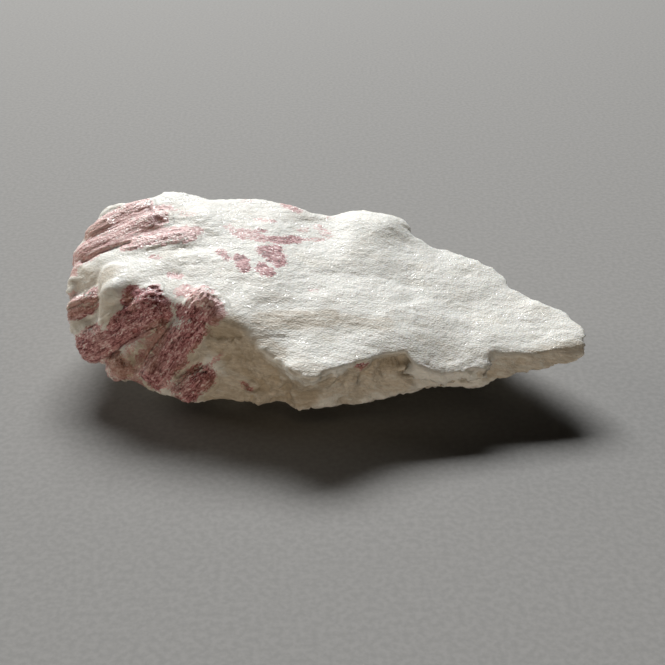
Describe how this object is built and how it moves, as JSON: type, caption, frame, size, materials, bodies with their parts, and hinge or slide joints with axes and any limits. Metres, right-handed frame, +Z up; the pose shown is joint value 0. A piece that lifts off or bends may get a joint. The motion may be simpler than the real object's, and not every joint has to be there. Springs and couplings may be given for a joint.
{
  "type": "tourmaline specimen",
  "caption": "Broken hand specimen of pink tourmaline crystals embedded in a wedge of white feldspar and quartz, resting on a flat fracture.",
  "frame": {"origin": "on the flat fracture that the stone rests on, under its middle", "axes": "+X towards the thin tip along the white grain, +Z up from the resting face, -Y towards the broken front with the crystals"},
  "size_m": [0.1194, 0.0661, 0.032],
  "materials": {
    "white_matrix": "rough sugary fracture, faint beige stain, small glints",
    "pink_tourmaline": "granular, lengthwise ribs, glassy glints"
  },
  "bodies": {
    "root": {"matrix": "white_matrix", "crystal_front_upper": "pink_tourmaline", "crystal_front_lower": "pink_tourmaline", "crystal_foot": "pink_tourmaline", "crystal_left_stub": "pink_tourmaline", "crystal_broken_stub": "pink_tourmaline", "crystal_rear_outer": "pink_tourmaline", "crystal_rear_middle": "pink_tourmaline", "crystal_rear_inner": "pink_tourmaline"}
  },
  "joints": []
}
